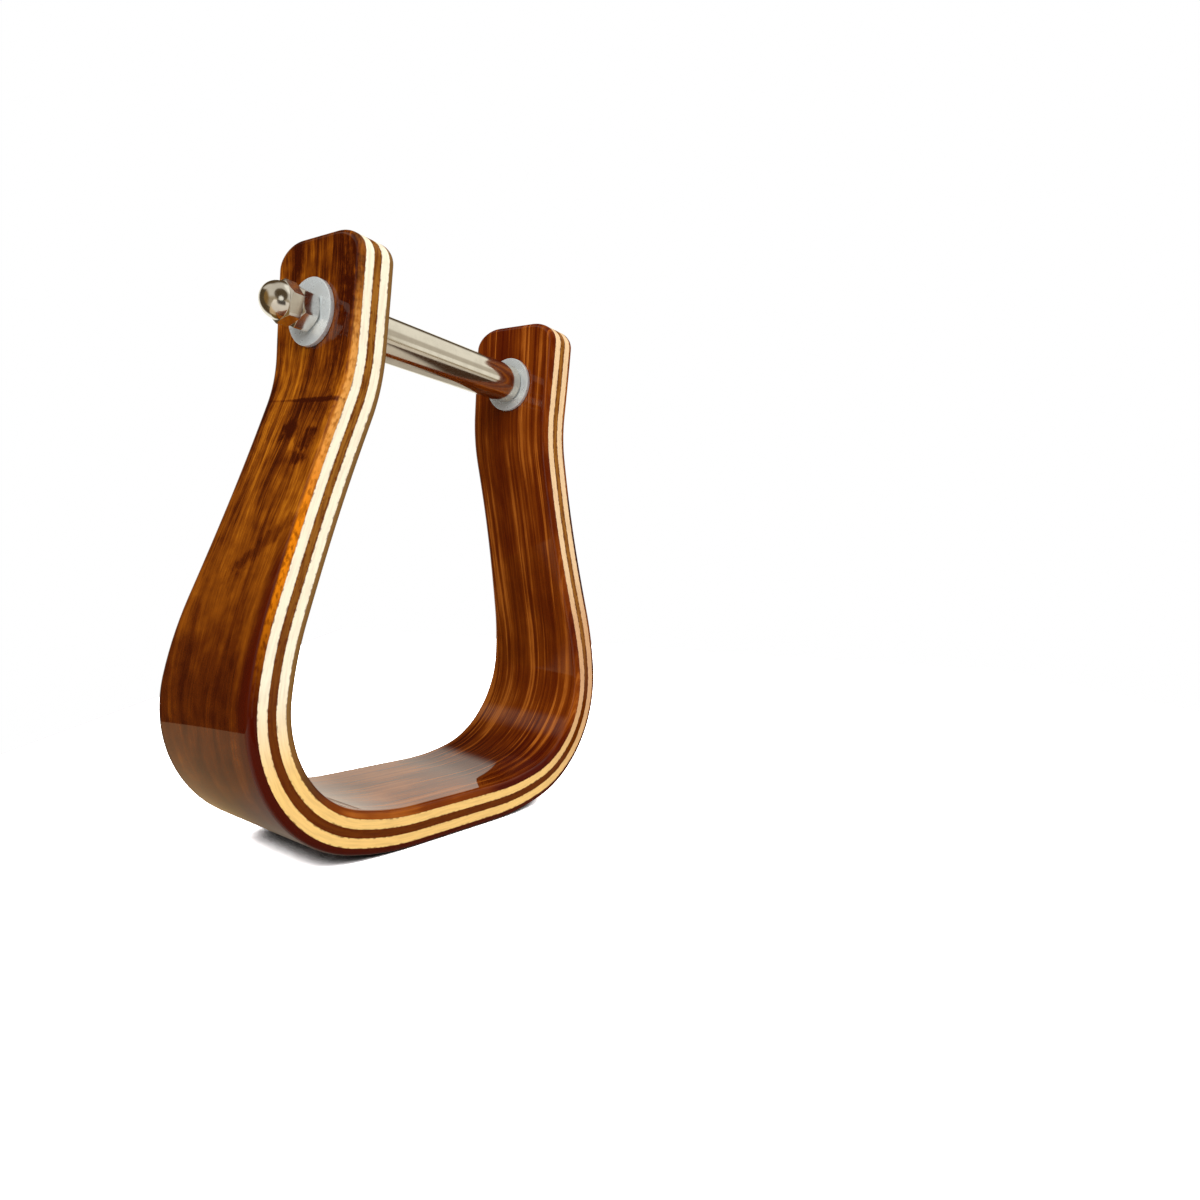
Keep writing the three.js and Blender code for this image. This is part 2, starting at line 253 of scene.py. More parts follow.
class Edge:
    """Edge of the flat board as signed distances and half widths, from the left ear's top to the right's."""

    def __init__(self, line):
        board = line.board
        half = [np.zeros(0)]
        for i in range(len(line.starts) - 2):
            run = line.starts[i + 1] - line.starts[i]
            steps = max(round(abs(line.curvature[i]) * run / BEND_STEP), round(run / STRAIGHT_STEP), 1)
            half.append(line.starts[i] + run * np.arange(1, steps + 1) / steps)
        bore = line.bolt + BORE_REACH * np.linspace(-1, 1, BORE_STEPS + 1)
        crown_start = line.end - board.crown_height
        plain = np.concatenate(half + [bore, [crown_start]])
        plain_half = line.half_width(line.at(plain)[1])
        turn = math.pi / 2 * np.arange(1, CROWN_STEPS + 1) / CROWN_STEPS
        distance = np.concatenate([plain, crown_start + board.crown_height * np.sin(turn)])
        width = np.concatenate([plain_half, plain_half[-1] - board.crown_width * (1 - np.cos(turn))])
        self.line = line
        self.distance = np.concatenate([-distance[::-1], distance])
        self.width = np.concatenate([width[::-1], width])
        self.count = len(self.distance)
        last = self.count - 1 - CROWN_STEPS - 1
        first = last - BORE_STEPS
        self.bores = [(self.count - 1 - last, self.count - 1 - first), (first, last)]

    def inset(self, depth):
        """The edge moved square to itself by a depth; its tangent is the central difference."""
        along, across = np.gradient(self.distance), np.gradient(self.width)
        along[[0, -1]], across[0], across[-1] = 0, 1, -1
        size = np.hypot(along, across)
        return self.distance + depth * across / size, self.width - depth * along / size

    def bore_circle(self, first, last, radius):
        """Even circle with a point for each station it is joined to, from the front edge round the back."""
        count = 2 * (last - first + 1)
        turn = -math.pi / 2 + (np.arange(count) - (count / 2 - 1) / 2) * 2 * math.pi / count
        centre = math.copysign(self.line.bolt, self.distance[first])
        return centre + radius * np.cos(turn), radius * np.sin(turn)


def quads(*corners):
    return np.stack(corners, axis=-1).reshape(-1, 4)


def ply_surface(edge, rings, bore_radius):
    """A ply as a stack of closed rings, each at an (offset, inset), with two bored end faces.

    A ring runs along the front edge and back along the rear one. A point is the centre line's point
    plus the offset along its outward normal. Round each bore an even circle is joined to the stations.
    """
    around = 2 * edge.count
    along, across, offset = [], [], []
    for ring_offset, depth in rings:
        distance, width = edge.inset(depth)
        along.append(np.concatenate([distance, distance[::-1]]))
        across.append(np.concatenate([-width, width[::-1]]))
        offset.append(np.full(around, ring_offset))
    ring = np.arange(around)
    following = np.roll(ring, -1)
    faces = [quads(ring + k * around, ring + (k + 1) * around, following + (k + 1) * around,
                   following + k * around) for k in range(len(rings) - 1)]
    station = np.arange(edge.count - 1)
    plain = np.ones(len(station), bool)
    for first, last in edge.bores:
        plain[first:last] = False
    station = station[plain]
    opposite = around - 1 - station
    top = (len(rings) - 1) * around
    faces.append(quads(station, station + 1, opposite - 1, opposite))
    faces.append(quads(station, opposite, opposite - 1, station + 1) + top)
    placed = len(rings) * around
    for first, last in edge.bores:
        outline = np.concatenate([np.arange(first, last + 1), around - 1 - np.arange(last, first - 1, -1)])
        distance, place = edge.bore_circle(first, last, bore_radius)
        for ring_offset, _ in (rings[0], rings[-1]):
            along.append(distance)
            across.append(place)
            offset.append(np.full(len(distance), ring_offset))
        low = placed + np.arange(len(outline))
        high = low + len(outline)
        placed += 2 * len(outline)
        outline_next, low_next, high_next = (np.roll(a, -1) for a in (outline, low, high))
        faces.append(quads(outline, outline_next, low_next, low))
        faces.append(quads(outline + top, high, high_next, outline_next + top))
        faces.append(quads(low, low_next, high_next, high))
    board = np.stack([np.concatenate(a) for a in (along, across, offset)], axis=-1)
    x, z, out_x, out_z = edge.line.at(board[:, 0])
    points = np.stack([x + board[:, 2] * out_x, board[:, 1], z + board[:, 2] * out_z], axis=-1)
    return points, np.concatenate(faces), board


ARC_STEPS = 5


def rounded(outline, radii):
    """A closed outline with each corner replaced by an arc of its radius, drawn between the points where
    the arc touches the two sides: radius / tan(half the corner's angle) from the corner."""
    points = np.asarray(outline, float)
    made = []
    for i, radius in enumerate(radii):
        corner = points[i]
        before, after = points[i - 1] - corner, points[(i + 1) % len(points)] - corner
        before, after = before / np.linalg.norm(before), after / np.linalg.norm(after)
        half = math.acos(np.clip(before @ after, -1, 1)) / 2
        if radius == 0 or math.pi / 2 - half < 1e-3:
            made.append(corner[None])
            continue
        middle = (before + after) / np.linalg.norm(before + after)
        centre = corner + middle * radius / math.sin(half)
        reach = math.pi / 2 - half
        normal = np.array([-middle[1], middle[0]])
        if normal @ before < 0:
            normal = -normal
        turn = np.linspace(reach, -reach, ARC_STEPS + 1)[:, None]
        made.append(centre + radius * (-middle * np.cos(turn) + normal * np.sin(turn)))
    return np.concatenate(made)


def turned_surface(radius, place, axis_height):
    """A profile carried round the X axis: a row for each profile point, a column for each angle.

    Rows close into a loop, unless the first and the last row have no radius, where the column ends in
    a pole. The point is (place, -radius sin, axis height + radius cos).
    """
    rows, sides = radius.shape
    turn = 2 * math.pi * np.arange(sides) / sides
    points = np.stack([place, -radius * np.sin(turn), axis_height + radius * np.cos(turn)], axis=-1)
    grid = np.arange(rows * sides).reshape(rows, sides)
    after = np.roll(grid, -1, axis=1)
    poles = np.allclose(radius[[0, -1]], 0)
    if not poles:
        below, below_after = np.roll(grid, -1, axis=0), np.roll(after, -1, axis=0)
        return points.reshape(-1, 3), quads(grid, after, below_after, below).tolist()
    body = quads(grid[1:-2], after[1:-2], after[2:-1], grid[2:-1]).tolist()
    low, high = int(grid[0, 0]), int(grid[-1, 0])
    caps = [(low, b, a) for a, b in zip(grid[1].tolist(), after[1].tolist())]
    caps += [(high, a, b) for a, b in zip(grid[-2].tolist(), after[-2].tolist())]
    used = np.unique(np.concatenate([[low, high], grid[1:-1].ravel()]))
    place_of = np.zeros(rows * sides, int)
    place_of[used] = np.arange(len(used))
    faces = [tuple(int(place_of[i]) for i in face) for face in body + caps]
    return points.reshape(-1, 3)[used], faces


def outwards(points, faces):
    """The faces with their order reversed if the signed volume, a sum of p0 . (p1 x p2), is negative."""
    volume = 0.0
    for size in {len(f) for f in faces}:
        corners = points[np.array([f for f in faces if len(f) == size])]
        for k in range(1, size - 1):
            volume += np.einsum("ij,ij->", corners[:, 0], np.cross(corners[:, k], corners[:, k + 1]))
    return faces if volume > 0 else [tuple(reversed(f)) for f in faces]


SHARP = math.radians(30)


def new_piece(name, points, faces, sharp, board=None, side=None):
    """A mesh object at the origin, smooth but for edges sharper than the given angle, if there is one."""
    mesh = bpy.data.meshes.new(name)
    mesh.from_pydata(points.tolist(), [], outwards(points, [tuple(f) for f in faces]))
    if board is not None:
        mesh.attributes.new("board", "FLOAT_VECTOR", "POINT").data.foreach_set("vector", board.ravel())
        mesh.attributes.new("side", "FLOAT", "POINT").data.foreach_set("value", side)
    mesh.shade_smooth()
    if sharp:
        mesh.set_sharp_from_angle(angle=sharp)
    mesh.validate()
    piece = bpy.data.objects.new(name, mesh)
    bpy.context.scene.collection.objects.link(piece)
    return piece


def dress(piece, material, body, slot, *nodes):
    piece.data.materials.append(material)
    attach(piece, body)
    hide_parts(*nodes)


# Materials

class Graph:
    """Short calls that add and join the nodes of one tree."""

    def __init__(self, tree):
        self.tree = tree
        tree.nodes.clear()

    def add(self, kind, inputs=(), **settings):
        node = self.tree.nodes.new(kind)
        for key, value in settings.items():
            setattr(node, key, value)
        for key, value in dict(inputs).items():
            self.feed(node.inputs[key], value)
        return node

    def feed(self, socket, value):
        if isinstance(value, bpy.types.NodeSocket):
            self.tree.links.new(value, socket)
        elif socket.type == "RGBA" and len(value) == 3:
            socket.default_value = (*value, 1)
        else:
            socket.default_value = value

    def math(self, operation, a, b=0.0, c=0.0):
        node = self.add("ShaderNodeMath", operation=operation)
        for socket, value in zip(node.inputs, (a, b, c)):
            self.feed(socket, value)
        return node.outputs[0]

    def fold(self, operation, first, *others):
        for other in others:
            first = self.math(operation, first, other)
        return first

    def total(self, *terms):
        return self.fold("ADD", *terms)

    def times(self, *factors):
        return self.fold("MULTIPLY", *factors)

    def largest(self, *values):
        return self.fold("MAXIMUM", *values)

    def less(self, value, taken):
        return self.math("SUBTRACT", value, taken)

    def magnitude(self, value):
        return self.math("ABSOLUTE", value)

    def vector(self, x=0.0, y=0.0, z=0.0):
        return self.add("ShaderNodeCombineXYZ", {"X": x, "Y": y, "Z": z}).outputs[0]

    def scaled(self, vector, x, y, z):
        node = self.add("ShaderNodeVectorMath", {0: vector, 1: (x, y, z)}, operation="MULTIPLY")
        return node.outputs[0]

    def split(self, vector):
        return self.add("ShaderNodeSeparateXYZ", {0: vector}).outputs

    def noise(self, vector, detail=2.0, roughness=0.5, distortion=0.0):
        node = self.add("ShaderNodeTexNoise", {
            "Vector": vector, "Scale": 1.0, "Detail": detail, "Roughness": roughness,
            "Distortion": distortion,
        })
        return node.outputs["Fac"]

    def figure(self, *axes, detail=2.0, roughness=0.5, distortion=0.0):
        """Noise on up to three axes: each a place with its frequency, or a number that picks the pattern."""
        places = [self.times(*axis) if isinstance(axis, tuple) else axis for axis in axes]
        return self.noise(self.vector(*places), detail, roughness, distortion)

    def centred(self, noise, gain):
        """A noise about 0.5 made one about 0, times a gain."""
        return self.math("MULTIPLY_ADD", noise, gain, -gain / 2)

    def remap(self, value, low, high, to_low=0.0, to_high=1.0):
        node = self.add("ShaderNodeMapRange", {
            "Value": value, "From Min": low, "From Max": high, "To Min": to_low, "To Max": to_high,
        }, interpolation_type="SMOOTHSTEP")
        return node.outputs["Result"]

    def band(self, value, start, full, fading, end):
        """One from full to fading, nothing before start or past end."""
        return self.times(self.remap(value, start, full), self.remap(value, end, fading))

    def mix(self, share_of_b, a, b):
        node = self.add("ShaderNodeMix", data_type="RGBA")
        for key, value in ((0, share_of_b), (6, a), (7, b)):
            self.feed(node.inputs[key], value)
        return node.outputs[2]

    def ramp(self, value, stops):
        node = self.add("ShaderNodeValToRGB", {"Fac": value})
        ramp = node.color_ramp
        while len(ramp.elements) < len(stops):
            ramp.elements.new(1.0)
        for element, (position, tone) in zip(ramp.elements, stops):
            element.position = position
            element.color = (*tone, 1)
        return node.outputs["Color"]

    def bump(self, height, strength, distance):
        node = self.add("ShaderNodeBump", {"Height": height, "Strength": strength, "Distance": distance})
        return node.outputs["Normal"]

    def rays(self):
        """Whether a ray comes from the camera, and whether it was reflected or refracted."""
        rays = self.add("ShaderNodeLightPath").outputs
        return rays["Is Camera Ray"], self.largest(rays["Is Glossy Ray"], rays["Is Transmission Ray"])

    def finish(self, **inputs):
        shader = self.add("ShaderNodeBsdfPrincipled", {
            key.replace("_", " "): value for key, value in inputs.items()})
        self.add("ShaderNodeOutputMaterial", {"Surface": shader.outputs[0]})


def new_material(name):
    material = bpy.data.materials.new(name)
    material.use_nodes = True
    return material, Graph(material.node_tree)


def board_place(graph):
    """Along, across and offset in millimetres, and the place across as a share of the half width."""
    board = graph.add("ShaderNodeAttribute", attribute_name="board").outputs["Vector"]
    side = graph.add("ShaderNodeAttribute", attribute_name="side").outputs["Fac"]
    return *graph.split(graph.scaled(board, 1000, 1000, 1000)), side


def varnished(graph, tone, height, gloss):
    """Wood under a clear glossy coat, whose own surface is all but flat."""
    graph.finish(
        Base_Color=tone, Roughness=0.5, Specular_IOR_Level=0.0,
        Normal=graph.bump(height, 0.25, 0.0001),
        Coat_Weight=gloss, Coat_Roughness=0.02, Coat_IOR=1.45,
    )


def edge_varnish(graph, offset, finish):
    """The coat is thin where a veneer is rounded over."""
    return graph.remap(graph.magnitude(offset), 6.0, 6.6, 0.18 * finish.varnish, finish.varnish)


# Stretches of the board in millimetres along it: where each starts, is full, fades and ends.
UNDERSIDE = (-150, -125, 60, 90)
# Painted sheen: along this stretch the inner veneer is lighter and its stripes calmer.
LOW_LEG = (-125, -95, -60, -20)
PAINTED_SHEEN_TREAD = (-70, -50, 5, 25)
DARK_TREAD = (8, 25, 60, 85)
RIGHT_BEND = (50, 75, 130, 170)

# Marks of the outer veneer in millimetres: place along and across, half length, half width, slant,
# darkness. A light mark has a negative darkness.
MARKS = (
    (-173.2, 0.2, 3.4, 3.4, 0.0, 0.46),
    (-169.4, -10.2, 4.2, 2.6, 0.0, 0.50),
    (-163.8, -8.4, 2.2, 3.2, 0.0, 0.40),
    (-178.5, -12.0, 5.0, 4.0, 0.0, 0.16),
    (-138.0, -8.0, 10.0, 3.4, 1.02, 0.26),
    (-230.6, 8.5, 15.0, 2.4, 0.0, 0.32),
    (-225.0, -16.3, 16.0, 2.6, 0.0, 0.28),
    (-204.0, -15.5, 20.0, 4.0, 0.0, 0.26),
    (-170.0, 12.0, 11.0, 1.8, 0.0, -0.22),
    (-168.1, -3.4, 2.6, 1.3, 0.0, -0.28),
    (-230.0, -2.2, 13.0, 1.1, 0.0, -0.22),
)
# A dark line crosses the left leg just below the ear: its place, and its lean per millimetre across.
CROSS_LINE = (-182.7, -0.035)


def marks_shade(graph, along, across, ragged):
    """Sum of soft ellipses, each the square root of its squared distances in half lengths and widths."""
    shade = 0.0
    for place, side, length_half, width_half, slant, dark in MARKS:
        run = graph.less(along, place)
        aside = graph.less(across, graph.math("MULTIPLY_ADD", run, slant, side))
        distance = graph.math("SQRT", graph.total(
            graph.math("POWER", graph.times(run, 1 / length_half), 2.0),
            graph.math("POWER", graph.times(aside, 1 / width_half), 2.0)))
        shade = graph.total(shade, graph.remap(graph.total(distance, ragged), 1.5, 0.3, 0.0, dark))
    return shade


def cross_line_shade(graph, along, across):
    """A wavy line that grows wider and darker towards the front edge, with a soft shade below it."""
    place, lean = CROSS_LINE
    wave = graph.centred(graph.figure((across, 0.16), 2.0), 1.2)
    below = graph.total(graph.less(along, place), graph.times(across, -lean), wave)
    near = graph.math("DIVIDE", graph.magnitude(below), graph.remap(across, 8, -6, 0.4, 0.85))
    line = graph.times(graph.remap(near, 1.4, 0.3), graph.remap(across, 10, -2, 0.20, 0.45))
    middle = graph.remap(graph.magnitude(graph.math("ADD", across, 2.5)), 9, 3)
    patch = graph.times(middle, graph.band(below, -0.4, 0.6, 2, 7))
    under = graph.band(below, -0.4, 0.6, 3, 26)
    return graph.total(line, graph.times(under, 0.08), graph.times(patch, 0.2))


def wild_rosewood(finish):
    """Outer veneer: soft streaks that wander along the board, fine fibres, dark veins, knots and marks."""
    material, graph = new_material("wild rosewood")
    along, across, offset, side = board_place(graph)
    wander = graph.figure((along, 0.011), (across, 0.03))
    line = graph.total(across, graph.centred(wander, 18), graph.times(offset, 0.6))
    broad = graph.figure((along, 0.012), (line, 0.12), 14.0)
    middle = graph.figure((along, 0.030), (line, 0.42), 21.0, detail=3, roughness=0.6)
    fibres = graph.figure((along, 0.12), (line, 1.7), detail=3, roughness=0.6)
    pores = graph.figure((along, 0.30), (line, 3.4), detail=1)
    mottle = graph.figure((along, 0.20), (line, 0.16), 3.1, detail=3)
    veins = graph.figure((along, 0.0075), (line, 0.10), 7.3, detail=3, roughness=0.55, distortion=0.3)
    vein = graph.times(graph.remap(graph.magnitude(graph.centred(veins, 1)), 0.0, 0.05, 1.0, 0.0),
                       graph.remap(along, -95, -20, 0.06, 0.50))
    ragged = graph.centred(graph.figure((along, 0.45), (across, 0.5), 9.0, detail=3), 2.2)
    contrast = graph.remap(along, -170, -105, 1.55, 0.55)
    streaks = graph.total(graph.centred(broad, 1.1), graph.centred(middle, 0.75))
    low_front = graph.times(graph.band(along, *UNDERSIDE), graph.remap(side, -0.68, -0.92))
    tone = graph.total(
        0.50, graph.times(streaks, contrast), graph.times(graph.centred(fibres, 0.75), contrast),
        graph.centred(mottle, 0.5), graph.remap(pores, 0.62, 0.74, 0.0, -0.10), graph.times(vein, -1),
        graph.times(marks_shade(graph, along, across, ragged), -1),
        graph.times(cross_line_shade(graph, along, across), -1),
        graph.times(low_front, -0.25), graph.remap(side, 0.80, 1.0, 0.0, -0.22),
        graph.remap(along, -212, -228, 0.0, -0.12), graph.times(graph.band(along, *LOW_LEG), -0.31),
    )
    shade = graph.ramp(tone, (
        (0.0, finish.vein), (0.28, finish.brown), (0.58, finish.amber), (0.95, finish.gold)))
    shade = graph.mix(graph.times(low_front, 0.75), shade, finish.wine)
    speckle = graph.figure((along, 0.5), (across, 0.8), (offset, 1.2), detail=3)
    cut = graph.times(
        graph.remap(offset, 6.35, 5.85), graph.remap(speckle, 0.34, 0.58, 0.35, 1.0),
        graph.remap(along, -222, -196, 0.12, 1.0), graph.remap(along, -138, -92, 1.0, 0.0))
    raw = graph.mix(graph.remap(along, -180, -145), finish.sanded, finish.burnt)
    shade = graph.mix(cut, shade, raw)
    varnished(graph, shade, graph.less(fibres, vein), edge_varnish(graph, offset, finish))
    return material


def straight_rosewood(finish):
    """Inner veneer: narrow straight stripes with a few golden ones, redder and darker on the tread but for
    its left stretch, which a painted sheen makes lighter.
    """
    material, graph = new_material("straight rosewood")
    along, across, offset, side = board_place(graph)
    sway = graph.centred(graph.figure((along, 0.009), detail=1), 5)
    line = graph.total(across, sway, graph.times(offset, 0.3))
    stripes = graph.figure((along, 0.006), (line, 0.48), 2.0, detail=4, roughness=0.68)
    golden = graph.figure((along, 0.008), (line, 0.62), 5.5)
    fibres = graph.figure((along, 0.08), (line, 2.6), detail=3)
    clouds = graph.figure((along, 0.035), (across, 0.07), 8.0, detail=3)
    # The tread's left stretch gets a painted sheen: a lighter tone and calmer stripes, as under a milky
    # reflection.
    painted_sheen, dark_tread = graph.band(along, *PAINTED_SHEEN_TREAD), graph.band(along, *DARK_TREAD)
    grain = graph.total(graph.centred(stripes, 1.7), graph.remap(golden, 0.52, 0.68, 0.0, 0.40),
                        graph.centred(fibres, 0.6))
    contrast = graph.total(1.0, graph.times(painted_sheen, -0.45), graph.times(dark_tread, 0.8))
    tone = graph.total(
        0.46, graph.times(grain, contrast), graph.centred(clouds, 1.2), graph.times(dark_tread, 0.06),
        graph.times(painted_sheen, 0.58), graph.times(graph.band(along, *RIGHT_BEND), 0.06),
        graph.remap(across, 6, 16, 0.0, 0.14), graph.remap(graph.magnitude(along), 40, 80, -0.30, 0.0),
        graph.remap(along, 140, 190, 0.0, -0.05),
    )
    shade = graph.ramp(tone, (
        (0.0, finish.wine), (0.35, finish.russet), (0.68, finish.copper), (1.0, finish.honeycomb)))
    cut = graph.times(graph.remap(offset, -6.4, -5.7), graph.remap(side, -0.85, -0.9),
                      graph.remap(along, -50, -95, 0.0, 0.8))
    shade = graph.mix(cut, shade, finish.olive)
    varnished(graph, shade, fibres, edge_varnish(graph, offset, finish))
    return material


def layered_edge(name, finish, tones, faces, streaked, ragged_depth):
    """Edge of a ply: lines along the board, and dark flecks that eat into it from the glue lines.

    The tones are the first colour on the left leg, then (colour, from, to) for each change along the board.
    """
    material, graph = new_material(name)
    along, across, offset, _ = board_place(graph)
    depth = graph.magnitude(offset)
    inside = graph.math("MINIMUM", graph.less(depth, faces[0]), graph.less(faces[1], depth))
    grain = graph.figure((along, 0.15), (across, 0.6), (offset, 1.7), detail=3)
    bites = graph.figure((along, 0.75), (across, 0.3), (offset, 0.9), detail=3)
    shade = tones[0]
    for tone, start, end in tones[1:]:
        shade = graph.mix(graph.remap(along, start, end), shade, tone)
    shade = graph.mix(graph.remap(grain, 0.35, 0.75, 0.0, streaked), shade, finish.brown)
    spare = graph.less(inside, graph.remap(bites, 0.38, 0.75, 0.0, ragged_depth))
    shade = graph.mix(graph.remap(spare, 0.2, -0.2, 0.0, 0.75), shade, finish.brown)
    varnished(graph, shade, grain, 0.2 * finish.varnish)
    return material


def plated(name, tone, roughness, metallic=1.0):
    """Plating whose gloss drifts a little from place to place."""
    material, graph = new_material(name)
    place = graph.add("ShaderNodeTexCoord").outputs["Object"]
    cloud = graph.noise(graph.scaled(place, 350, 350, 350), 3)
    graph.finish(
        Base_Color=graph.mix(graph.remap(cloud, 0.35, 0.65, 0.0, 0.12), tone, (0.35, 0.33, 0.30)),
        Metallic=metallic, Roughness=graph.remap(cloud, 0.3, 0.7, roughness * 0.8, roughness * 1.2),
    )
    return material


# Pieces

def settings():
    scene = bpy.context.scene
    return scene.stirrup_board, scene.stirrup_hardware, scene.stirrup_finish


def bolt_height():
    board, _, _ = settings()
    return Centreline(board).top - board.bolt_drop


def outer_face(board):
    """How far from the middle the ears' outer faces stand."""
    return board.neck_inside / 2 + thickness(board)


def ply(name, rings, material, slot):
    board, hardware, _ = settings()
    edge = Edge(Centreline(board))
    bore = hardware.bolt_diameter / 2 + hardware.bore_clearance
    points, faces, place = ply_surface(edge, rings, bore)
    side = place[:, 1] / edge.line.half_width(edge.line.at(place[:, 0])[1])
    piece = new_piece(name + "_wood", points, faces, SHARP, place, side)
    dress(piece, material, "frame", slot, name)


class STIRRUP_OT_veneers(bpy.types.Operator):
    """Make the outer and the inner rosewood veneer"""
    bl_idname = "stirrup.veneers"
    bl_label = "Veneers"

    def execute(self, context):
        board, _, finish = settings()
        glued = board.core / 2 + board.maple
        free = glued + board.veneer
        turn = np.linspace(0, math.pi / 2, 9)
        rings = [(glued, 0.0)]
        rings += [(free - board.edge_radius * (1 - math.sin(a)), board.edge_radius * (1 - math.cos(a)))
                  for a in turn]
        rings.append((free, board.edge_radius + 0.3 * MM))
        ply("outer_veneer", rings, wild_rosewood(finish), "rosewood")
        ply("inner_veneer", [(-o, depth) for o, depth in rings[::-1]], straight_rosewood(finish), "rosewood")
        return {"FINISHED"}


class STIRRUP_OT_plies(bpy.types.Operator):
    """Make the two pale plies and the brown core between them"""
    bl_idname = "stirrup.plies"
    bl_label = "Pale plies and core"

    def execute(self, context):
        board, _, finish = settings()
        core, pale = board.core / 2, board.core / 2 + board.maple
        maple = layered_edge(
            "maple", finish,
            (finish.cream, (finish.honey, -104, -72), (finish.tan, 35, 90), (finish.wheat, 112, 145)),
            (core / MM, pale / MM), 0.16, 0.35)
        walnut = layered_edge(
            "walnut", finish, (finish.walnut, (finish.dark_walnut, -165, -75), (finish.walnut, 85, 120)),
            (-core / MM, core / MM), 0.85, 0.9)
        ply("outer_maple_ply", [(core, 0.0), (pale, 0.0)], maple, "maple")
        ply("inner_maple_ply", [(-pale, 0.0), (-core, 0.0)], maple, "maple")
        ply("core_ply", [(-core, 0.0), (core, 0.0)], walnut, "walnut")
        return {"FINISHED"}


ROUND_SIDES = 96


def round_piece(name, outline, radii, material, body, slot, node):
    profile = rounded(outline, radii)
    radius = np.repeat(profile[:, :1], ROUND_SIDES, axis=1)
    place = np.repeat(profile[:, 1:], ROUND_SIDES, axis=1)
    piece = new_piece(name, *turned_surface(radius, place, bolt_height()), SHARP)
    dress(piece, material, body, slot, node)


class STIRRUP_OT_washers(bpy.types.Operator):
    """Make the four zinc plated washers"""
    bl_idname = "stirrup.washers"
    bl_label = "Washers"

    def execute(self, context):
        board, hardware, finish = settings()
        zinc = plated("zinc plate", finish.zinc, 0.30, 0.45)
        inner = hardware.bolt_diameter / 2 + hardware.bore_clearance
        outer = hardware.washer_diameter / 2
        thick = hardware.washer_thickness
        inside, outside = board.neck_inside / 2, outer_face(board)
        for node, start in (("right_outer_washer", outside), ("right_inner_washer", inside - thick),
                            ("left_inner_washer", -inside), ("left_outer_washer", -outside - thick)):
            outline = [(inner, start), (outer, start), (outer, start + thick), (inner, start + thick)]
            round_piece(node + "_zinc", outline, [0.1 * MM, 0.3 * MM, 0.3 * MM, 0.1 * MM], zinc, "frame",
                        "zinc", node)
        return {"FINISHED"}


class STIRRUP_OT_roller(bpy.types.Operator):
    """Make the spacer roller that turns on the bolt"""
    bl_idname = "stirrup.roller"
    bl_label = "Roller"

    def execute(self, context):
        board, hardware, finish = settings()
        inner = hardware.bolt_diameter / 2 + hardware.roller_clearance
        outer = hardware.roller_diameter / 2
        end = board.neck_inside / 2 - hardware.washer_thickness - hardware.end_clearance
        edge = hardware.roller_edge
        round_piece("roller_tube", [(inner, -end), (outer, -end), (outer, end), (inner, end)],
                    [0.2 * MM, edge, edge, 0.2 * MM], plated("roller steel", finish.nickel, 0.125), "roller",
                    "nickel", "spacer_roller")
        return {"FINISHED"}


HEX_SIDES = 72
HEX_ANGLES = 2 * math.pi * np.arange(HEX_SIDES) / HEX_SIDES
LEVEL = np.ones(HEX_SIDES)
WORN_EDGE = 0.14 * MM
DOME_STEPS = 24


def hexagon_rows(hardware, height, turn, face, both_faces):
    """Rows of radius and place of a chamfered hexagonal block, from its seat to its far face.

    The hexagon's radius is half its flats over the cosine of the angle from the nearest flat. It meets
    a 30 degree cone, which ends in a face of the given radius, where the radius equals the cone's.
    """
    sixth = math.pi / 3
    from_flat = (HEX_ANGLES - turn) % sixth - sixth / 2
    hexagon = hardware.hex_flats / 2 / np.cos(from_flat)
    drop = (hexagon - face) * math.tan(math.radians(30))
    rows = [(face * LEVEL, 0 * LEVEL), (hexagon, drop)] if both_faces else [(hexagon, 0 * LEVEL)]
    return rows + [(hexagon, height - drop), (face * LEVEL, height * LEVEL)]


def hex_piece(name, rows, seat, side, material, node):
    """Rows run out from the seat; side is -1 for a piece that points along -X."""
    radius = np.stack([r for r, _ in rows])
    place = seat + side * np.stack([p for _, p in rows])
    piece = new_piece(name, *turned_surface(radius, place, bolt_height()), 0)
    bevel = piece.modifiers.new("Worn edges", "BEVEL")
    bevel.width = WORN_EDGE
    bevel.segments = 3
    bevel.limit_method = "ANGLE"
    bevel.angle_limit = math.radians(24)
    bevel.harden_normals = True
    dress(piece, material, "frame", "nickel", node)


class STIRRUP_OT_nuts(bpy.types.Operator):
    """Make the hex nut and the acorn nut on the left"""
    bl_idname = "stirrup.nuts"
    bl_label = "Nuts"

    def execute(self, context):
        board, hardware, finish = settings()
        nickel = plated("bright nickel", finish.bright, 0.16)
        seat = -(outer_face(board) + hardware.washer_thickness)
        bore = (hardware.bolt_diameter / 2 + hardware.bore_clearance) * LEVEL
        rows = hexagon_rows(hardware, hardware.hex_nut, hardware.nut_turn, hardware.hex_face / 2, True)
        rows = [(bore, 0 * LEVEL)] + rows + [(bore, hardware.hex_nut * LEVEL)]
        hex_piece("hex_nut_nickel", rows, seat, -1, nickel, "hex_nut")

        dome, base = hardware.acorn_dome, hardware.acorn_hex
        depth = (hardware.acorn_thread + hardware.end_clearance) * LEVEL
        rows = [(0 * LEVEL, depth), (bore, depth), (bore, 0 * LEVEL)]
        rows += hexagon_rows(hardware, base, hardware.acorn_turn, dome, False)
        for a in np.linspace(0, math.pi / 2, DOME_STEPS + 1)[1:-1]:
            rows.append((dome * math.cos(a) * LEVEL, (base + dome * math.sin(a)) * LEVEL))
        rows.append((0 * LEVEL, (base + dome) * LEVEL))
        hex_piece("acorn_nut_nickel", rows, seat - hardware.hex_nut, -1, nickel, "acorn_nut")
        return {"FINISHED"}


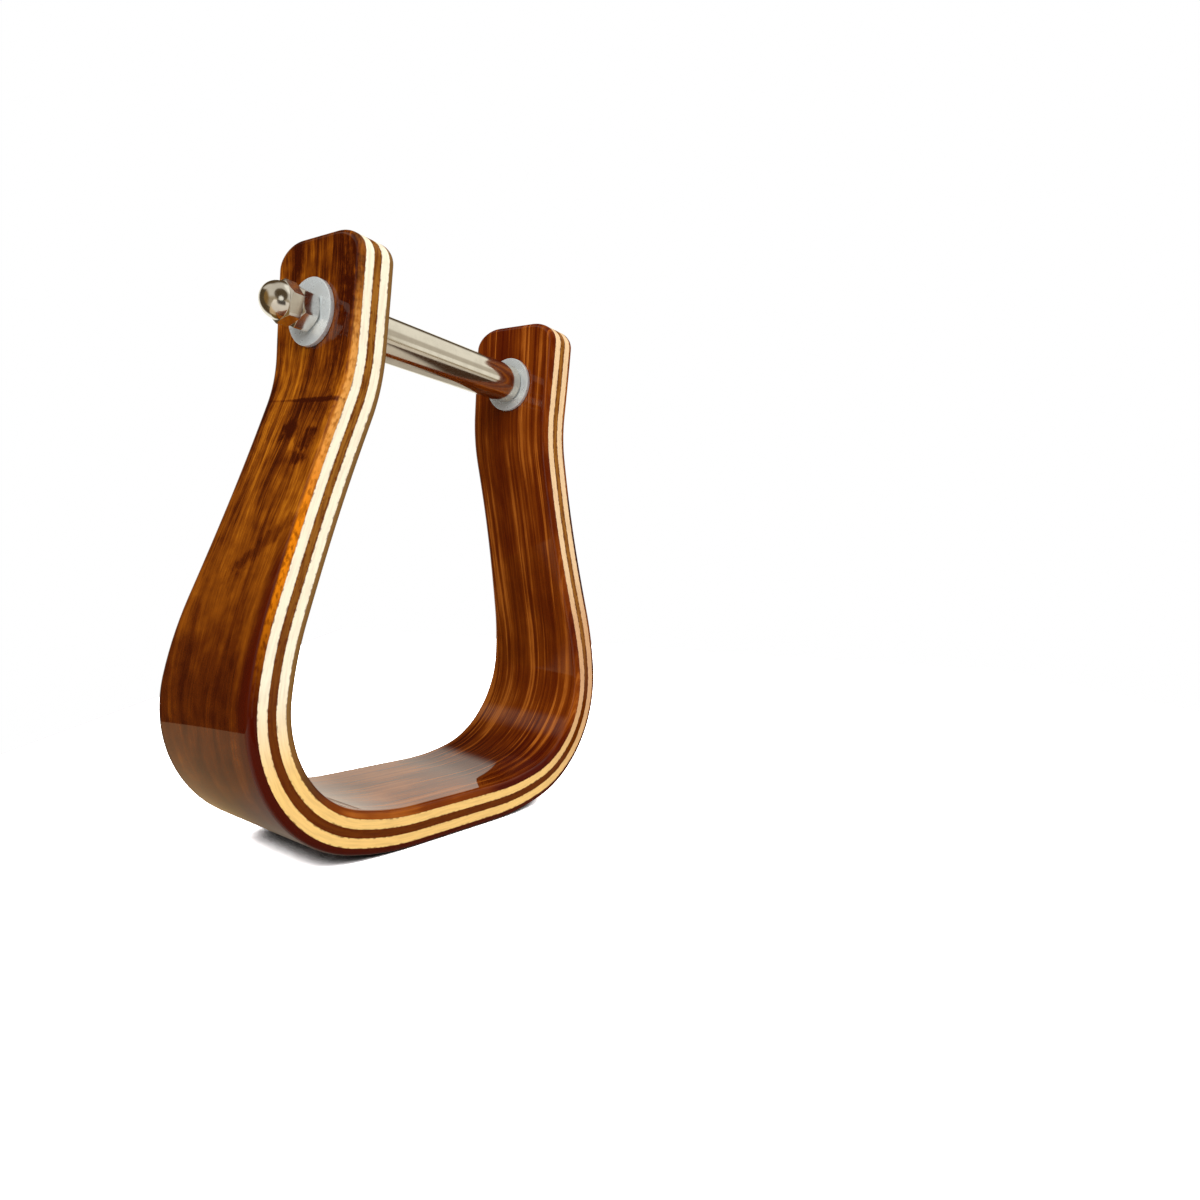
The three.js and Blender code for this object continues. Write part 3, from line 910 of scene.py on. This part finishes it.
class STIRRUP_OT_bolt(bpy.types.Operator):
    """Make the through bolt with its head on the right"""
    bl_idname = "stirrup.bolt"
    bl_label = "Bolt"

    def execute(self, context):
        board, hardware, finish = settings()
        seat = outer_face(board) + hardware.washer_thickness
        end = 2 * seat + hardware.hex_nut + hardware.acorn_thread
        shank, chamfer = hardware.bolt_diameter / 2, hardware.bolt_chamfer
        rows = [(0 * LEVEL, -end * LEVEL), ((shank - chamfer) * LEVEL, -end * LEVEL),
                (shank * LEVEL, (chamfer - end) * LEVEL), (shank * LEVEL, 0 * LEVEL)]
        rows += hexagon_rows(hardware, hardware.bolt_head, hardware.head_turn, hardware.hex_face / 2, False)
        rows.append((0 * LEVEL, hardware.bolt_head * LEVEL))
        nickel = plated("bolt nickel", finish.nickel, 0.1)
        hex_piece("through_bolt_nickel", rows, seat, 1, nickel, "through_bolt")
        return {"FINISHED"}


# Stage

class STIRRUP_OT_stage(bpy.types.Operator):
    """Make the floor, the world, the lamps and the camera"""
    bl_idname = "stirrup.stage"
    bl_label = "Stage"

    def execute(self, context):
        scene = context.scene
        stage = scene.stirrup_stage
        self.floor(stage)
        self.world(scene, stage)
        self.lamp("key", stage.key_power, (0.25, -0.62, 0.62), 0.45)
        self.lamp("side", stage.side_power, (-0.8, -0.25, 0.5), 0.5)
        self.camera(scene, stage)
        scene.view_settings.view_transform = "Standard"
        return {"FINISHED"}

    def floor(self, stage):
        """A square sheet with one edge close behind the object, past which gloss sees the dark room. To the
        camera it is white, and dark only where the object all but touches it, a painted contact shadow. In
        gloss it is warm paper, with a brown shade behind, a dark card on the right and the foot of a dark
        curtain in front."""
        reach, back, turn = stage.floor_reach, stage.floor_back, stage.floor_turn
        flat = np.array([(-reach, -reach, 0), (reach, -reach, 0), (reach, back, 0), (-reach, back, 0)])
        corners = [Matrix.Rotation(turn, 3, "Z") @ Vector(corner) for corner in flat]
        mesh = bpy.data.meshes.new("floor")
        mesh.from_pydata(corners, [], [(0, 1, 2, 3)])
        floor = bpy.data.objects.new("floor", mesh)
        bpy.context.scene.collection.objects.link(floor)
        material, graph = new_material("white paper")
        to_camera, shiny = graph.rays()
        right, away, _ = graph.split(graph.add("ShaderNodeTexCoord").outputs["Object"])
        slanting = graph.math("MULTIPLY_ADD", away, 0.9, right)
        warm = graph.times(graph.remap(slanting, 0.03, 0.005), graph.remap(away, 0.0, 0.03))
        shade = graph.times(graph.remap(slanting, 0.005, 0.03), graph.remap(right, 0.09, 0.06),
                            graph.remap(away, 0.02, 0.035))
        card = graph.times(graph.remap(right, 0.11, 0.15),
                           graph.remap(graph.magnitude(graph.math("ADD", away, 0.1)), 0.19, 0.16))
        nearer = graph.math("MULTIPLY_ADD", right, -0.42, graph.times(away, -0.91))
        beside = graph.magnitude(graph.math("MULTIPLY_ADD", right, 0.91, graph.times(away, -0.42)))
        curtain = graph.times(graph.remap(nearer, 0.20, 0.28),
                              graph.remap(graph.math("DIVIDE", beside, nearer), 0.50, 0.42))
        gloss = graph.mix(warm, (0.62, 0.55, 0.44), (0.60, 0.42, 0.22))
        gloss = graph.mix(curtain, gloss, (0.05, 0.04, 0.03))
        gloss = graph.mix(shade, gloss, (0.17, 0.10, 0.02))
        gloss = graph.mix(card, gloss, (0.06, 0.03, 0.015))
        # Painted contact shadow: an ambient occlusion node turns the camera's colour dark where the object is
        # close, over the shadows the lamps cast.
        open_air = graph.add("ShaderNodeAmbientOcclusion", {"Distance": 0.014}).outputs["AO"]
        seen = graph.mix(graph.remap(open_air, 0.1, 0.42), (0.05, 0.045, 0.04), (4.5, 4.5, 4.5))
        tone = graph.mix(to_camera, graph.mix(shiny, (0.8, 0.8, 0.8), gloss), seen)
        diffuse = graph.add("ShaderNodeBsdfDiffuse", {"Color": tone})
        graph.add("ShaderNodeOutputMaterial", {"Surface": diffuse.outputs[0]})
        mesh.materials.append(material)

    def world(self, scene, stage):
        """White behind the object, to the camera and in gloss. Gloss also sees the studio: a softbox above on
        the right, a window in front on the right, a bright pane in a dark curtain straight in front, warm
        walls, brown ones behind on the left, and dark cards behind and above."""
        world = bpy.data.worlds.new("studio")
        world.use_nodes = True
        graph = Graph(world.node_tree)
        direction = graph.add("ShaderNodeTexCoord").outputs["Generated"]
        width, depth, height = graph.split(direction)

        def towards(x, y, z):
            node = graph.add("ShaderNodeVectorMath", {0: direction, 1: (x, y, z)}, operation="DOT_PRODUCT")
            return node.outputs["Value"]

        backdrop = graph.times(graph.remap(towards(0.68, 0.73, 0.0), 0.50, 0.72),
                               graph.remap(height, 0.53, 0.44))
        softbox = graph.remap(towards(0.60, -0.28, 0.75), 0.86, 0.93)
        window = graph.times(graph.remap(towards(0.69, -0.72, 0.0), 0.955, 0.985),
                             graph.remap(graph.magnitude(height), 0.16, 0.10))
        pane = graph.remap(towards(-0.36, -0.93, -0.03), 0.962, 0.980)
        curtain = graph.remap(towards(-0.34, -0.86, 0.38), 0.79, 0.83)
        corner = graph.times(graph.remap(graph.magnitude(towards(0.85, 0.53, 0.0)), 0.47, 0.37),
                             graph.remap(depth, 0.0, 0.1), graph.remap(height, 0.62, 0.50))
        ceiling = graph.times(graph.remap(height, 0.40, 0.55), graph.remap(depth, 0.05, 0.40),
                              graph.remap(width, -0.40, -0.15))
        behind = graph.remap(towards(-0.83, 0.56, 0.0), 0.75, 0.92)
        room = graph.mix(graph.remap(height, -0.1, 0.2), (0.36, 0.28, 0.17), (0.60, 0.54, 0.43))
        room = graph.mix(behind, room, (0.22, 0.12, 0.03))
        room = graph.mix(graph.largest(corner, ceiling, curtain), room, (0.08, 0.05, 0.02))
        room = graph.mix(graph.largest(backdrop, softbox, window, pane), room, (1.0, 0.95, 0.80))
        to_camera, shiny = graph.rays()
        light = graph.mix(shiny, (stage.ambient,) * 3, room)
        light = graph.mix(to_camera, light, (1, 1, 1))
        back = graph.add("ShaderNodeBackground", {"Color": light, "Strength": 1.0})
        graph.add("ShaderNodeOutputWorld", {"Surface": back.outputs[0]})
        scene.world = world

    def lamp(self, name, power, place, size):
        light = bpy.data.lights.new(name, "AREA")
        light.energy = power
        light.size = size
        lamp = bpy.data.objects.new(name, light)
        lamp.visible_glossy = False
        bpy.context.scene.collection.objects.link(lamp)
        aim = Vector((0, 0, 0.08)) - Vector(place)
        lamp.matrix_world = Matrix.Translation(place) @ aim.to_track_quat("-Z", "Y").to_matrix().to_4x4()

    def camera(self, scene, stage):
        """The camera's back, right and up come from its azimuth and elevation, then turn by the roll."""
        azimuth, elevation, roll = stage.camera_azimuth, stage.camera_elevation, stage.camera_roll
        back = Vector((math.sin(azimuth) * math.cos(elevation), -math.cos(azimuth) * math.cos(elevation),
                       math.sin(elevation)))
        level = Vector((math.cos(azimuth), math.sin(azimuth), 0))
        plumb = back.cross(level)
        right = math.cos(roll) * level + math.sin(roll) * plumb
        up = math.cos(roll) * plumb - math.sin(roll) * level
        data = bpy.data.cameras.new("camera")
        data.sensor_width = 36
        data.lens = stage.lens
        data.clip_start = 0.01
        camera = bpy.data.objects.new("camera", data)
        scene.collection.objects.link(camera)
        turned = Matrix((right, up, back)).transposed().to_4x4()
        camera.matrix_world = Matrix.Translation(stage.camera_place) @ turned
        scene.camera = camera


PIECES = (STIRRUP_OT_veneers, STIRRUP_OT_plies, STIRRUP_OT_washers, STIRRUP_OT_roller, STIRRUP_OT_nuts,
          STIRRUP_OT_bolt, STIRRUP_OT_stage)


class STIRRUP_PT_panel(bpy.types.Panel):
    """Panel that lists the pieces"""
    bl_label = "Wooden stirrup"
    bl_space_type = "VIEW_3D"
    bl_region_type = "UI"
    bl_category = "Stirrup"

    def draw(self, context):
        for piece in PIECES:
            self.layout.operator(piece.bl_idname)


GROUPS = {"stirrup_board": StirrupBoard, "stirrup_hardware": StirrupHardware, "stirrup_finish": StirrupFinish,
          "stirrup_stage": StirrupStage}


def register():
    for made in (*GROUPS.values(), *PIECES, STIRRUP_PT_panel):
        bpy.utils.register_class(made)
    for name, group in GROUPS.items():
        setattr(bpy.types.Scene, name, PointerProperty(type=group))


def unregister():
    for name in GROUPS:
        delattr(bpy.types.Scene, name)
    for made in (STIRRUP_PT_panel, *PIECES, *GROUPS.values()):
        bpy.utils.unregister_class(made)


def main():
    register()
    for piece in PIECES:
        family, name = piece.bl_idname.split(".")
        getattr(getattr(bpy.ops, family), name)()


if __name__ == "__main__":
    main()
